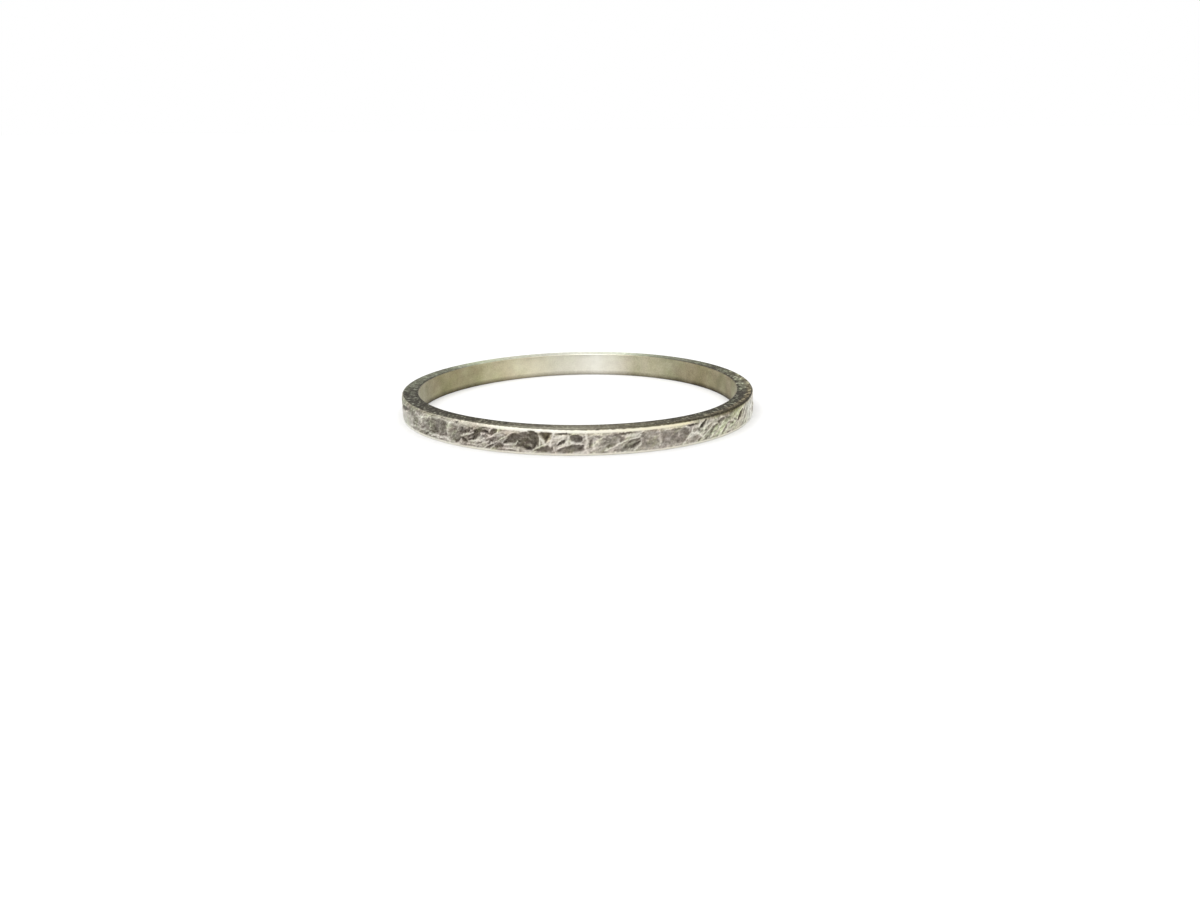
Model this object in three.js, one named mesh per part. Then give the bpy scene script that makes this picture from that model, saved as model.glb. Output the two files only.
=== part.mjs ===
// Stackable ring: one plain hammered band of oxidised sterling silver.
// Millimetres, +Z up. The band lies flat on its side, so the finger hole runs along Z.
// Its bottom face is at Z = 0 and the middle of its outline is on the Z axis.
// The front of the band, as worn facing the viewer, looks along -Y, so an angle of 270 degrees is its front.

import * as THREE from 'three';

// ---------------------------------------------------------------- driving dimensions, mm
const OUTER_RADIUS = 9.62; // 19.2 mm across outside
const INNER_RADIUS = 8.70; // 17.4 mm finger hole, about US size 7
const HEIGHT = 1.30; // width of the band along the finger, 16 gauge wire
const INNER_WEAR = 0.050; // small worn bevel along the two inner edges
const LOW_WEAR = 0.060; // worn bevel along the lower outer edge
const FACE_CROWN = 0.030; // how far the middle of the outer face stands proud of its edges

// The band was closed and hammered by hand, so it isn't a true circle.
// Each row pushes the outline out (positive) or in (negative), lobes times round the band.
const OUT_OF_ROUND = [
  // lobes, push mm, angle deg
  { lobes: 2, push: 0.080, angle: 48 },
  { lobes: 3, push: -0.105, angle: 13 },
];

// The upper outer edge is worn to a bevel whose size changes round the band: how far it cuts in and how far down.
const UPPER_WEAR = [
  // angle deg, inward mm, down mm
  { angle: 0, inward: 0.090, down: 0.110 },
  { angle: 190, inward: 0.080, down: 0.090 },
  { angle: 225, inward: 0.075, down: 0.085 },
  { angle: 250, inward: 0.090, down: 0.145 },
  { angle: 270, inward: 0.100, down: 0.180 },
  { angle: 300, inward: 0.100, down: 0.180 },
  { angle: 320, inward: 0.105, down: 0.160 },
  { angle: 335, inward: 0.105, down: 0.160 },
  { angle: 360, inward: 0.090, down: 0.110 },
];

// ---------------------------------------------------------------- fineness of the facets
const STATIONS = 220; // sections round the band
const FACE_ROWS = 7; // points up the outer face, its two edges included

// ---------------------------------------------------------------- hammer marks on the outer face
// Each mark is a shallow scoop, and where two scoops meet they leave a sharp ridge.
// angle: where its middle is round the band; z: its height; long and wide: half its length and half its width;
// depth: how deep its middle is; slant: how far its length is turned up towards growing angles.
const HAMMER_MARKS = [
  // angle deg, z mm, long mm, wide mm, depth mm, slant deg
  // front of the band, from left to right
  { angle: 206.0, z: 0.78, long: 0.80, wide: 0.62, depth: 0.040, slant: 0 },
  { angle: 214.5, z: 0.40, long: 0.55, wide: 0.45, depth: 0.045, slant: 20 },
  { angle: 222.3, z: 0.72, long: 0.92, wide: 0.60, depth: 0.085, slant: -4 },
  { angle: 232.6, z: 0.70, long: 0.80, wide: 0.62, depth: 0.065, slant: 12 },
  { angle: 240.5, z: 0.82, long: 0.46, wide: 0.34, depth: 0.075, slant: 24 },
  { angle: 243.5, z: 0.35, long: 0.70, wide: 0.22, depth: 0.045, slant: 32 },
  { angle: 253.4, z: 0.66, long: 1.15, wide: 0.43, depth: 0.100, slant: 9 },
  { angle: 261.0, z: 0.96, long: 0.30, wide: 0.26, depth: 0.105, slant: 0 },
  { angle: 260.2, z: 0.33, long: 0.42, wide: 0.26, depth: 0.070, slant: 0 },
  { angle: 265.4, z: 0.64, long: 0.28, wide: 0.14, depth: 0.060, slant: 34 },
  { angle: 269.8, z: 0.88, long: 0.40, wide: 0.20, depth: 0.070, slant: -6 },
  { angle: 268.1, z: 0.33, long: 0.80, wide: 0.24, depth: 0.080, slant: 3 },
  { angle: 278.4, z: 0.68, long: 0.85, wide: 0.64, depth: 0.060, slant: 0 },
  { angle: 285.9, z: 0.55, long: 0.60, wide: 0.24, depth: 0.085, slant: 30 },
  { angle: 291.4, z: 0.76, long: 0.62, wide: 0.60, depth: 0.060, slant: 0 },
  { angle: 299.4, z: 0.72, long: 0.86, wide: 0.62, depth: 0.070, slant: 0 },
  { angle: 306.0, z: 0.36, long: 0.42, wide: 0.28, depth: 0.060, slant: 20 },
  { angle: 309.2, z: 0.98, long: 0.36, wide: 0.12, depth: 0.070, slant: 58 },
  { angle: 313.2, z: 0.58, long: 0.62, wide: 0.24, depth: 0.070, slant: 52 },
  { angle: 319.4, z: 0.66, long: 0.66, wide: 0.30, depth: 0.065, slant: 48 },
  { angle: 327.0, z: 0.62, long: 0.80, wide: 0.48, depth: 0.055, slant: 24 },
  { angle: 334.5, z: 0.80, long: 0.52, wide: 0.30, depth: 0.060, slant: 60 },
  { angle: 342.5, z: 0.52, long: 0.72, wide: 0.50, depth: 0.050, slant: 18 },
  // back of the band, in the same hand
  { angle: 351.5, z: 0.72, long: 0.84, wide: 0.54, depth: 0.070, slant: -8 },
  { angle: 1.5, z: 0.50, long: 0.76, wide: 0.46, depth: 0.075, slant: 22 },
  { angle: 10.0, z: 0.84, long: 0.62, wide: 0.38, depth: 0.065, slant: -14 },
  { angle: 17.5, z: 0.40, long: 0.86, wide: 0.36, depth: 0.080, slant: 12 },
  { angle: 27.0, z: 0.72, long: 0.90, wide: 0.56, depth: 0.075, slant: 6 },
  { angle: 37.5, z: 0.56, long: 0.70, wide: 0.50, depth: 0.060, slant: -22 },
  { angle: 46.0, z: 0.78, long: 0.66, wide: 0.40, depth: 0.085, slant: 30 },
  { angle: 55.0, z: 0.46, long: 0.88, wide: 0.40, depth: 0.070, slant: 4 },
  { angle: 65.5, z: 0.74, long: 0.94, wide: 0.54, depth: 0.080, slant: -6 },
  { angle: 76.0, z: 0.48, long: 0.66, wide: 0.42, depth: 0.065, slant: 26 },
  { angle: 84.5, z: 0.80, long: 0.78, wide: 0.44, depth: 0.080, slant: 10 },
  { angle: 94.0, z: 0.50, long: 0.84, wide: 0.46, depth: 0.060, slant: -16 },
  { angle: 104.0, z: 0.70, long: 0.72, wide: 0.56, depth: 0.085, slant: 8 },
  { angle: 113.5, z: 0.42, long: 0.80, wide: 0.36, depth: 0.070, slant: 20 },
  { angle: 122.5, z: 0.82, long: 0.70, wide: 0.40, depth: 0.070, slant: -10 },
  { angle: 132.0, z: 0.56, long: 0.92, wide: 0.50, depth: 0.080, slant: 5 },
  { angle: 142.5, z: 0.74, long: 0.68, wide: 0.48, depth: 0.065, slant: 32 },
  { angle: 151.5, z: 0.44, long: 0.82, wide: 0.38, depth: 0.075, slant: -5 },
  { angle: 161.0, z: 0.76, long: 0.86, wide: 0.50, depth: 0.070, slant: 14 },
  { angle: 171.5, z: 0.54, long: 0.76, wide: 0.48, depth: 0.080, slant: -20 },
  { angle: 181.0, z: 0.74, long: 0.80, wide: 0.50, depth: 0.060, slant: 8 },
  { angle: 190.5, z: 0.48, long: 0.74, wide: 0.44, depth: 0.065, slant: 18 },
  { angle: 198.5, z: 0.80, long: 0.60, wide: 0.40, depth: 0.055, slant: -12 },
];

const rad = (deg) => (deg * Math.PI) / 180;

// How far the outline stands off its true circle at an angle.
function outOfRound(a) {
  let push = 0;
  for (const row of OUT_OF_ROUND) push += row.push * Math.cos(row.lobes * (a - rad(row.angle)));
  return push;
}

// How deep the hammer marks are at an angle and a height: the deepest scoop there, or none.
function hammered(a, z) {
  let depth = 0;
  for (const mark of HAMMER_MARKS) {
    let turn = a - rad(mark.angle);
    turn -= 2 * Math.PI * Math.round(turn / (2 * Math.PI));
    const along = turn * OUTER_RADIUS;
    const up = z - mark.z;
    const s = rad(mark.slant);
    const p = (along * Math.cos(s) + up * Math.sin(s)) / mark.long;
    const q = (-along * Math.sin(s) + up * Math.cos(s)) / mark.wide;
    depth = Math.max(depth, mark.depth * (1 - p * p - q * q));
  }
  return depth;
}

// The crowned outer face, before hammering.
function faceRadius(z) {
  const t = (2 * z) / HEIGHT - 1;
  return OUTER_RADIUS - FACE_CROWN * t * t;
}

// The upper edge's wear at an angle, joined straight between the rows of its table.
function upperWear(a) {
  const deg = (a * 180) / Math.PI;
  const i = Math.max(1, UPPER_WEAR.findIndex((row) => row.angle >= deg));
  const [from, to] = [UPPER_WEAR[i - 1], UPPER_WEAR[i]];
  const t = (deg - from.angle) / (to.angle - from.angle);
  return {
    inward: from.inward + (to.inward - from.inward) * t,
    down: from.down + (to.down - from.down) * t,
  };
}

// One section of the band at an angle, as [radius, height] pairs, anticlockwise seen with +Z up and outwards to the right.
function section(a) {
  const push = outOfRound(a);
  const upper = upperWear(a);
  const points = [
    [INNER_RADIUS + INNER_WEAR, 0],
    [OUTER_RADIUS - FACE_CROWN - LOW_WEAR, 0],
  ];
  const low = LOW_WEAR;
  const high = HEIGHT - upper.down;
  for (let i = 0; i < FACE_ROWS; i++) {
    const z = low + ((high - low) * i) / (FACE_ROWS - 1);
    points.push([faceRadius(z) - hammered(a, z), z]);
  }
  points.push(
    [OUTER_RADIUS - FACE_CROWN - upper.inward, HEIGHT],
    [INNER_RADIUS + INNER_WEAR, HEIGHT],
    [INNER_RADIUS, HEIGHT - INNER_WEAR],
    [INNER_RADIUS, INNER_WEAR],
  );
  return points.map(([r, z]) => [r + push, z]);
}

// The band: its sections joined round the finger hole into one closed skin.
function bandGeometry() {
  const rings = [];
  for (let i = 0; i < STATIONS; i++) {
    const a = (2 * Math.PI * i) / STATIONS;
    rings.push(section(a).map(([r, z]) => [r * Math.cos(a), r * Math.sin(a), z]));
  }
  const per = rings[0].length;
  const flat = rings.flat();
  // The middle of the outline goes on the Z axis.
  const low = [0, 1].map((k) => Math.min(...flat.map((p) => p[k])));
  const high = [0, 1].map((k) => Math.max(...flat.map((p) => p[k])));
  const middle = low.map((v, k) => (v + high[k]) / 2);
  const positions = flat.flatMap(([x, y, z]) => [x - middle[0], y - middle[1], z]);
  const index = [];
  for (let i = 0; i < STATIONS; i++) {
    const j = (i + 1) % STATIONS;
    for (let k = 0; k < per; k++) {
      const l = (k + 1) % per;
      const a = i * per + k;
      const b = j * per + k;
      const c = j * per + l;
      const d = i * per + l;
      index.push(a, b, c, a, c, d);
    }
  }
  const geometry = new THREE.BufferGeometry();
  geometry.setAttribute('position', new THREE.Float32BufferAttribute(positions, 3));
  geometry.setIndex(index);
  geometry.computeVertexNormals();
  return geometry;
}

// Oxidised silver: darkened in the hammer marks, worn back to bright metal on the ridges and inside.
const oxidisedSilver = new THREE.MeshStandardMaterial({
  name: 'oxidised_silver',
  color: new THREE.Color(0.56, 0.53, 0.49),
  metalness: 0.9,
  roughness: 0.42,
});

const band = new THREE.Mesh(bandGeometry(), oxidisedSilver);
band.name = 'band';

const ring = new THREE.Group();
ring.name = 'stackable_ring';
ring.add(band);

export default ring;
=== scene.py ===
"""Stackable ring: a slim hammered band of oxidised silver, lying flat on a pale floor.

Lengths in the tables are millimetres and angles are degrees round the band. 270 is the front of the band, towards the
camera, and angles grow towards the viewer's right there. Heights run from 0, the side it lies on, to HEIGHT.
"""

import math
from collections import namedtuple

import bpy
import numpy as np
from mathutils import Matrix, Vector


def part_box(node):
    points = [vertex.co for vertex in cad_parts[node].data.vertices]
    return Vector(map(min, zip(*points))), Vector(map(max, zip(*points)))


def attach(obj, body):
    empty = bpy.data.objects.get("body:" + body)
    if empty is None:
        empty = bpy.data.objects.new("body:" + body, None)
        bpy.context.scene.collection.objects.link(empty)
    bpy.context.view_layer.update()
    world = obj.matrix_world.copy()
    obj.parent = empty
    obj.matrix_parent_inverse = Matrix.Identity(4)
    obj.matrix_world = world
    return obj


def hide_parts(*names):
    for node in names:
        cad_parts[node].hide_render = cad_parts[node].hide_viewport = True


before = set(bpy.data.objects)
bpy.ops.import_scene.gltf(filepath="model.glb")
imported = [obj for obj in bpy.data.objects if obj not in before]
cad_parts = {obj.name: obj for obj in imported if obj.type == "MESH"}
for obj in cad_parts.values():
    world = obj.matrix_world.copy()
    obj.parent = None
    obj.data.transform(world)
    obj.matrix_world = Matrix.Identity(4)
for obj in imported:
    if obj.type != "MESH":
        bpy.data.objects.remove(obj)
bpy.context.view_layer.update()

MM = 0.001

# ------------------------------------------------------------------ the band's own sizes, mm
OUTER_RADIUS = 9.62
INNER_RADIUS = 8.70
HEIGHT = 1.30
FACE_CROWN = 0.030  # the middle of the outer face stands this far proud of its edges
LOW_WEAR = (0.050, 0.060)  # worn outer edge below: how far in, how far up
INNER_WEAR = 0.050  # worn inner edges

Lobe = namedtuple("Lobe", "lobes push angle")
OUT_OF_ROUND = [Lobe(2, 0.080, 48), Lobe(3, -0.105, 13)]

# The upper outer edge is worn to a bevel: how far it cuts in and down. bright is how clean it is rubbed and how strong
# a painted highlight it carries where the bevel catches the light, spread how far below the bevel the rubbing reaches,
# clean the share of the bevel, from its foot, that is rubbed before the dark of the flat side begins, orange how warm
# its metal and its painted highlight look, and taller how much the hammer has spread the band upwards there.
Edge = namedtuple("Edge", "angle inward down bright spread clean orange taller")
UPPER_EDGE = [
    #    angle  inward  down  bright spread clean orange taller
    Edge(0, 0.090, 0.110, 0.25, 0.000, 0.60, 0.4, 0.000),
    Edge(60, 0.090, 0.110, 0.80, 0.000, 0.95, 0.2, 0.000),
    Edge(120, 0.090, 0.110, 0.70, 0.000, 0.95, 0.2, 0.000),
    Edge(150, 0.085, 0.100, 0.30, 0.000, 0.80, 0.3, 0.000),
    Edge(190, 0.080, 0.090, 0.14, 0.020, 0.75, 0.3, 0.010),
    Edge(208, 0.078, 0.088, 0.16, 0.040, 0.80, 0.4, 0.030),
    Edge(225, 0.075, 0.085, 0.20, 0.040, 0.85, 0.4, 0.036),
    Edge(238, 0.080, 0.110, 0.56, 0.030, 0.85, 0.3, 0.030),
    Edge(247, 0.088, 0.140, 0.94, 0.015, 0.78, 0.1, 0.018),
    Edge(258, 0.095, 0.165, 1.00, 0.015, 0.70, 0.0, 0.006),
    Edge(272, 0.100, 0.180, 1.00, 0.015, 0.58, 0.1, 0.000),
    Edge(283, 0.100, 0.180, 1.00, 0.010, 0.56, 0.3, -0.005),
    Edge(296, 0.100, 0.180, 1.00, 0.010, 0.54, 0.5, -0.010),
    Edge(304, 0.102, 0.178, 0.92, 0.000, 0.50, 0.8, -0.020),
    Edge(308, 0.103, 0.174, 0.26, 0.000, 0.44, 0.9, -0.022),
    Edge(311, 0.104, 0.170, 0.20, 0.000, 0.40, 0.9, -0.025),
    Edge(320, 0.105, 0.160, 0.16, 0.000, 0.34, 1.0, -0.030),
    Edge(338, 0.100, 0.150, 0.14, 0.000, 0.34, 0.9, -0.020),
    Edge(360, 0.090, 0.110, 0.25, 0.000, 0.60, 0.4, 0.000),
]

# ------------------------------------------------------------------ how fine the mesh is
STATIONS = 1440  # sections round the band
FRONT_SHARE = 1.55  # how much closer together the sections are at the front than at the back
ROWS = dict(low_side=3, low_inner=3, wall=6, top_inner=3, top_side=13, top_outer=6, face=29, low_outer=5)


# ------------------------------------------------------------------ noise
def noise3(x, y, z, seed):
    """Smooth gradient noise of three arrays, about -1 to 1, the same for the same seed."""
    rng = np.random.RandomState(seed)
    perm = rng.permutation(256)
    grad = rng.normal(size=(256, 3))
    grad /= np.linalg.norm(grad, axis=1)[:, None]
    xi, yi, zi = (np.floor(v).astype(np.int64) for v in (x, y, z))
    fx, fy, fz = x - xi, y - yi, z - zi
    ux, uy, uz = (f * f * f * (f * (f * 6 - 15) + 10) for f in (fx, fy, fz))
    total = np.zeros(np.broadcast(x, y, z).shape)
    for dx in (0, 1):
        for dy in (0, 1):
            for dz in (0, 1):
                h = perm[(perm[(perm[(xi + dx) & 255] + yi + dy) & 255] + zi + dz) & 255]
                g = grad[h]
                dot = g[..., 0] * (fx - dx) + g[..., 1] * (fy - dy) + g[..., 2] * (fz - dz)
                wx = ux if dx else 1 - ux
                wy = uy if dy else 1 - uy
                wz = uz if dz else 1 - uz
                total += wx * wy * wz * dot
    return total * 1.6


def cloud(x, y, z, seed, octaves=4, fall=0.5):
    """Several octaves of noise3, about -1 to 1."""
    total, size, weight = 0.0, 1.0, 1.0
    norm = 0.0
    for k in range(octaves):
        total = total + weight * noise3(x * size, y * size, z * size, seed + 17 * k)
        norm += weight
        size *= 2.03
        weight *= fall
    return total / norm


def ease(t):
    t = np.clip(t, 0.0, 1.0)
    return t * t * (3 - 2 * t)


def turn(a, b):
    """a - b in degrees, the short way round."""
    return (a - b + 180.0) % 360.0 - 180.0


# ------------------------------------------------------------------ hammer marks
# Each mark is a shape on the outer face. angle and z are its middle; long and wide are half its length and half its
# width; slant turns its length up towards growing angles. corner is 2 for an oval, more for a squarer outline and less
# for pointed ends. taper narrows it towards its far end (negative) or its near end (positive). floor is 2 for a scoop
# and more for a flat floor with steep sides. depth is how deep it is, and tone how dark its oxide is, 0 to 1.
Mark = namedtuple("Mark", "angle z long wide slant corner taper floor depth tone")
FRONT_MARKS = [
    #    angle   z     long  wide  slant corner taper floor depth  tone
    Mark(194.0, 0.50, 0.55, 0.50, 0, 2.4, 0.0, 2, 0.030, 0.20),
    Mark(200.4, 0.89, 0.95, 0.140, 8, 1.7, -0.5, 3, 0.055, 0.84),
    Mark(205.5, 0.42, 0.60, 0.34, 0, 2.4, 0.0, 2, 0.030, 0.26),
    Mark(211.6, 0.76, 0.44, 0.24, 6, 2.0, 0.2, 2, 0.040, 0.46),
    Mark(212.5, 0.33, 0.45, 0.18, 14, 1.8, 0.0, 2, 0.030, 0.44),
    Mark(218.0, 0.70, 0.46, 0.36, 14, 2.6, 0.2, 2, 0.045, 0.48),
    Mark(224.1, 0.75, 0.70, 0.40, -2, 4.5, 0.1, 4, 0.085, 0.64),
    Mark(218.2, 0.24, 0.24, 0.045, 16, 1.6, 0.0, 3, 0.035, 0.80),
    Mark(221.9, 0.19, 0.13, 0.050, 8, 1.8, 0.0, 2, 0.020, 0.55),
    Mark(225.0, 0.15, 0.22, 0.045, 10, 1.8, 0.0, 2, 0.020, 0.58),
    Mark(216.6, 0.53, 0.16, 0.040, 8, 1.7, 0.0, 3, 0.030, 0.96),
    Mark(221.6, 0.42, 0.46, 0.026, -5, 1.6, 0.0, 3, 0.030, 0.92),
    Mark(225.4, 0.37, 0.18, 0.036, 14, 1.7, 0.0, 3, 0.030, 0.96),
    Mark(219.0, 0.88, 0.30, 0.026, 20, 1.7, 0.0, 3, 0.020, 0.80),
    Mark(214.6, 0.60, 0.20, 0.026, 24, 1.7, 0.0, 3, 0.020, 0.76),
    Mark(213.2, 0.84, 0.18, 0.026, 20, 1.7, 0.0, 3, 0.020, 0.76),
    Mark(210.4, 0.46, 0.20, 0.026, 18, 1.7, 0.0, 3, 0.020, 0.70),
    Mark(206.6, 0.64, 0.26, 0.024, 14, 1.7, 0.0, 3, 0.020, 0.62),
    Mark(204.6, 0.50, 0.22, 0.024, 14, 1.7, 0.0, 3, 0.020, 0.66),
    Mark(226.2, 1.20, 0.14, 0.036, 0, 1.7, 0.0, 3, 0.030, 0.80),
    Mark(230.9, 0.80, 0.58, 0.36, 10, 3.0, 0.2, 2, 0.040, 0.48),
    Mark(229.9, 0.40, 0.38, 0.22, 0, 2.5, 0.0, 2, 0.024, 0.48),
    Mark(227.6, 0.46, 0.10, 0.070, 60, 1.8, 0.0, 3, 0.035, 0.92),
    Mark(232.1, 1.20, 0.12, 0.040, 0, 1.7, 0.0, 4, 0.060, 0.98),
    Mark(233.0, 0.66, 0.84, 0.26, 42, 2.8, 0.1, 3, 0.060, 0.54),
    Mark(235.8, 0.86, 0.36, 0.13, 30, 1.9, 0.2, 3, 0.075, 0.74),
    Mark(234.6, 1.08, 0.30, 0.10, 10, 1.8, 0.0, 2, 0.040, 0.56),
    Mark(238.0, 1.00, 0.06, 0.06, 0, 2.0, 0.0, 3, 0.040, 0.95),
    Mark(238.3, 0.53, 0.37, 0.075, 25, 1.6, 0.0, 3, 0.075, 0.86),
    Mark(239.6, 0.80, 0.44, 0.19, 34, 2.2, 0.1, 3, 0.080, 0.80),
    Mark(242.4, 0.97, 0.24, 0.065, -8, 1.7, 0.0, 3, 0.060, 0.84),
    Mark(242.0, 1.12, 0.27, 0.045, 2, 1.8, 0.0, 3, 0.045, 0.78),
    Mark(245.3, 0.99, 0.22, 0.16, 34, 2.0, 0.0, 3, 0.085, 0.88),
    Mark(244.7, 0.85, 0.22, 0.050, -6, 1.7, 0.0, 3, 0.055, 0.84),
    Mark(236.9, 0.62, 0.10, 0.060, 0, 1.8, 0.0, 3, 0.040, 0.78),
    Mark(232.4, 0.30, 0.40, 0.070, 34, 1.7, 0.0, 3, 0.065, 0.80),
    Mark(235.0, 0.40, 0.31, 0.110, -24, 1.8, 0.0, 3, 0.065, 0.80),
    Mark(238.5, 0.16, 0.05, 0.060, 90, 1.8, 0.0, 3, 0.020, 0.60),
    Mark(240.0, 0.33, 0.30, 0.060, 18, 1.7, 0.0, 3, 0.040, 0.62),
    Mark(243.9, 0.24, 0.34, 0.085, 30, 1.7, 0.0, 3, 0.055, 0.74),
    Mark(242.6, 0.62, 0.26, 0.045, 26, 1.7, 0.0, 3, 0.030, 0.56),
    Mark(244.6, 0.55, 0.14, 0.055, 36, 1.8, 0.0, 3, 0.030, 0.60),
    Mark(248.3, 0.90, 0.16, 0.055, -8, 1.8, 0.0, 2, 0.030, 0.70),
    Mark(248.0, 1.05, 0.24, 0.050, 6, 1.8, 0.0, 2, 0.025, 0.52),
    Mark(246.9, 0.33, 0.28, 0.120, 20, 2.0, 0.0, 3, 0.050, 0.78),
    Mark(241.6, 0.42, 0.22, 0.030, 20, 1.7, 0.0, 3, 0.030, 0.95),
    Mark(242.8, 0.51, 0.20, 0.028, 28, 1.7, 0.0, 3, 0.030, 0.95),
    Mark(240.4, 0.24, 0.18, 0.032, 10, 1.7, 0.0, 3, 0.030, 0.90),
    Mark(243.8, 0.42, 0.20, 0.030, 24, 1.7, 0.0, 3, 0.030, 0.95),
    # the broad dark hollow left of the middle
    Mark(254.4, 0.71, 0.88, 0.38, 5, 2.6, 0.0, 4, 0.115, 0.86),
    Mark(250.2, 0.68, 0.46, 0.15, 33, 1.6, 0.3, 4, 0.095, 0.84),
    Mark(255.9, 0.34, 0.42, 0.13, -16, 1.8, -0.2, 4, 0.100, 1.05),
    Mark(250.4, 0.17, 0.22, 0.045, 0, 1.8, 0.0, 3, 0.040, 0.72),
    Mark(250.2, 0.37, 0.30, 0.120, 4, 2.4, 0.0, 2, 0.040, 0.22),
    Mark(257.0, 1.10, 0.26, 0.085, -12, 1.7, 0.0, 3, 0.070, 1.15),
    Mark(254.2, 1.04, 0.26, 0.045, 0, 1.7, 0.0, 3, 0.050, 0.88),
    Mark(257.6, 0.50, 0.22, 0.140, 70, 1.8, 0.0, 3, 0.110, 1.10),
    Mark(251.0, 0.60, 0.44, 0.060, 6, 1.6, 0.0, 3, 0.100, 1.10),
    Mark(254.6, 0.88, 0.34, 0.080, -24, 1.6, 0.0, 2, 0.090, 0.62),
    Mark(253.0, 0.74, 0.30, 0.050, 30, 1.6, 0.0, 2, 0.090, 0.98),
    # the dark three-cornered pit and what lies round it
    Mark(261.1, 0.92, 0.25, 0.195, -88, 5.0, -0.85, 5, 0.125, 0.86),
    Mark(261.0, 0.66, 0.09, 0.045, -60, 1.8, 0.0, 3, 0.040, 0.74),
    Mark(260.4, 0.29, 0.40, 0.155, 8, 2.6, 0.35, 3, 0.060, 0.66),
    Mark(262.8, 0.35, 0.10, 0.038, 90, 1.8, 0.0, 3, 0.045, 0.86),
    Mark(263.5, 0.95, 0.12, 0.030, 8, 1.7, 0.0, 3, 0.025, 0.74),
    Mark(263.1, 0.79, 0.08, 0.025, -10, 1.7, 0.0, 3, 0.018, 0.55),
    Mark(266.1, 1.06, 0.32, 0.072, 3, 1.7, 0.0, 4, 0.055, 1.25),
    Mark(265.5, 0.64, 0.29, 0.085, 34, 1.5, 0.25, 4, 0.080, 0.92),
    Mark(268.2, 0.33, 0.68, 0.205, 8, 2.0, 0.15, 4, 0.095, 0.68),
    Mark(270.8, 0.41, 0.24, 0.085, 24, 1.7, 0.0, 3, 0.090, 0.96),
    Mark(269.8, 0.86, 0.34, 0.185, -6, 2.3, 0.1, 4, 0.100, 0.80),
    # right of the middle
    Mark(274.0, 0.56, 0.28, 0.095, 90, 3.0, 0.0, 2, 0.045, 0.44),
    Mark(279.4, 0.66, 0.48, 0.36, 8, 2.4, 0.0, 2, 0.050, 0.44),
    Mark(279.5, 0.45, 0.24, 0.085, 22, 1.8, 0.0, 3, 0.035, 0.70),
    Mark(276.2, 0.92, 0.24, 0.070, 0, 1.8, 0.0, 3, 0.025, 0.42),
    Mark(281.6, 0.90, 0.30, 0.110, -20, 2.0, 0.0, 2, 0.040, 0.56),
    Mark(283.6, 1.03, 0.46, 0.064, 4, 1.6, 0.0, 3, 0.050, 1.05),
    Mark(277.8, 0.15, 0.16, 0.045, 12, 1.8, 0.0, 3, 0.030, 0.66),
    Mark(282.9, 0.22, 0.46, 0.095, 4, 2.0, 0.0, 2, 0.035, 0.54),
    Mark(285.6, 0.48, 0.54, 0.21, 26, 1.8, 0.15, 3, 0.080, 0.60),
    Mark(286.9, 0.43, 0.32, 0.085, 36, 1.6, 0.0, 4, 0.100, 0.86),
    Mark(291.2, 0.60, 0.50, 0.40, 0, 4.0, 0.0, 2, 0.055, 0.50),
    Mark(288.9, 0.98, 0.12, 0.035, 0, 1.7, 0.0, 3, 0.030, 0.78),
    Mark(289.5, 0.44, 0.09, 0.050, 0, 1.8, 0.0, 3, 0.030, 0.68),
    Mark(292.4, 1.07, 0.18, 0.030, 6, 1.7, 0.0, 3, 0.025, 0.66),
    Mark(291.4, 0.12, 0.08, 0.035, 0, 1.8, 0.0, 3, 0.020, 0.56),
    Mark(299.6, 0.60, 0.78, 0.40, 0, 5.0, 0.0, 4, 0.070, 0.54),
    Mark(302.6, 0.74, 0.33, 0.23, 14, 3.0, 0.0, 2, 0.070, 0.63),
    Mark(300.6, 0.98, 0.34, 0.028, -2, 1.7, 0.0, 3, 0.035, 0.74),
    Mark(305.5, 1.05, 0.33, 0.052, -2, 1.7, 0.0, 4, 0.060, 1.20),
    Mark(306.2, 0.31, 0.40, 0.175, 8, 2.4, 0.0, 3, 0.060, 0.44),
    Mark(308.2, 0.19, 0.12, 0.050, 30, 1.8, 0.0, 3, 0.030, 0.56),
    Mark(309.7, 0.97, 0.35, 0.092, 36, 1.6, 0.0, 4, 0.085, 1.20),
    Mark(308.0, 0.72, 0.14, 0.050, -40, 1.8, 0.0, 3, 0.035, 0.66),
    Mark(310.8, 0.60, 0.09, 0.070, 0, 2.0, 0.0, 3, 0.035, 0.62),
    Mark(311.9, 0.80, 0.09, 0.050, 40, 1.8, 0.0, 3, 0.035, 0.66),
    Mark(311.7, 0.24, 0.20, 0.050, 30, 1.8, 0.0, 3, 0.030, 0.52),
    Mark(313.3, 0.43, 0.36, 0.110, 56, 1.6, 0.2, 3, 0.055, 0.56),
    Mark(315.0, 0.70, 0.22, 0.085, 20, 1.8, 0.0, 3, 0.045, 0.64),
    Mark(314.8, 0.44, 0.12, 0.045, 10, 1.8, 0.0, 3, 0.035, 0.66),
    Mark(318.2, 0.93, 0.42, 0.110, 10, 1.8, 0.0, 3, 0.055, 0.58),
    Mark(321.9, 0.95, 0.28, 0.055, -10, 1.8, 0.0, 3, 0.035, 0.60),
    Mark(320.0, 0.40, 0.42, 0.100, 46, 1.7, 0.0, 2, 0.035, 0.38),
    Mark(323.6, 0.60, 0.46, 0.080, -14, 1.8, 0.0, 3, 0.040, 0.60),
    Mark(322.2, 0.16, 0.20, 0.035, 0, 1.7, 0.0, 3, 0.025, 0.62),
    Mark(327.0, 0.54, 0.16, 0.050, 10, 1.8, 0.0, 3, 0.030, 0.56),
    Mark(329.9, 0.78, 0.44, 0.150, 36, 1.6, 0.0, 4, 0.095, 1.25),
    Mark(326.6, 0.66, 0.40, 0.050, -20, 1.7, 0.0, 3, 0.035, 0.74),
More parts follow.
